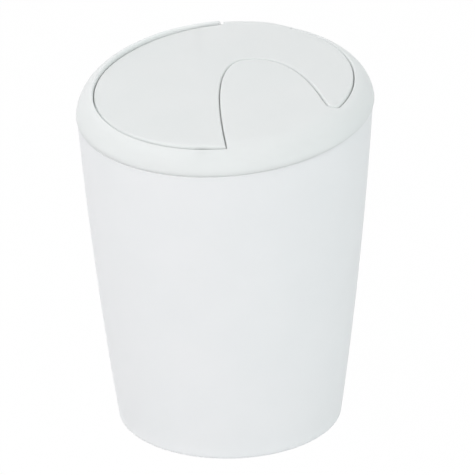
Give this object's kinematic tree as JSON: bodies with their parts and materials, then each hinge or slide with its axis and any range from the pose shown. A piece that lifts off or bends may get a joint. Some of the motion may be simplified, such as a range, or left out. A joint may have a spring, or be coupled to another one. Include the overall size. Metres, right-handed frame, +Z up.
{
  "type": "countertop waste bin",
  "caption": "Small round tapered bin with a slanted mouth, a plug-in lid ring with a rounded shoulder and an S-shaped swing flap on pins.",
  "frame": {"origin": "centre of the foot ring, on the surface that the bin stands on", "axes": "+Z up along the bucket's axis, +Y to the high side of the slanted mouth, +X to the right"},
  "size_m": [0.1414, 0.1399, 0.1827],
  "materials": {
    "bucket": "satin white polypropylene",
    "lid_ring": "satin white polypropylene",
    "swing_flap": "satin white polypropylene",
    "pin_steel": "drawn steel wire",
    "weight_steel": "plain sawn steel bar"
  },
  "bodies": {
    "bucket": {"bucket": "bucket"},
    "lid": {"lid_ring": "lid_ring"},
    "flap": {"swing_flap": "swing_flap", "front_hinge_pin": "pin_steel", "rear_hinge_pin": "pin_steel", "counterweight": "weight_steel"}
  },
  "joints": [
    {"name": "lid_lift", "type": "slide", "parent": "bucket", "child": "lid", "axis": [0, 0, 1], "range_m": [0, 0.1]},
    {"name": "flap_swing", "type": "hinge", "parent": "lid", "child": "flap", "pos_m": [-0.01037, -0.00426, 0.16633], "axis": [0.3338, -0.9269, -0.1718], "range_deg": [0, 65]}
  ]
}
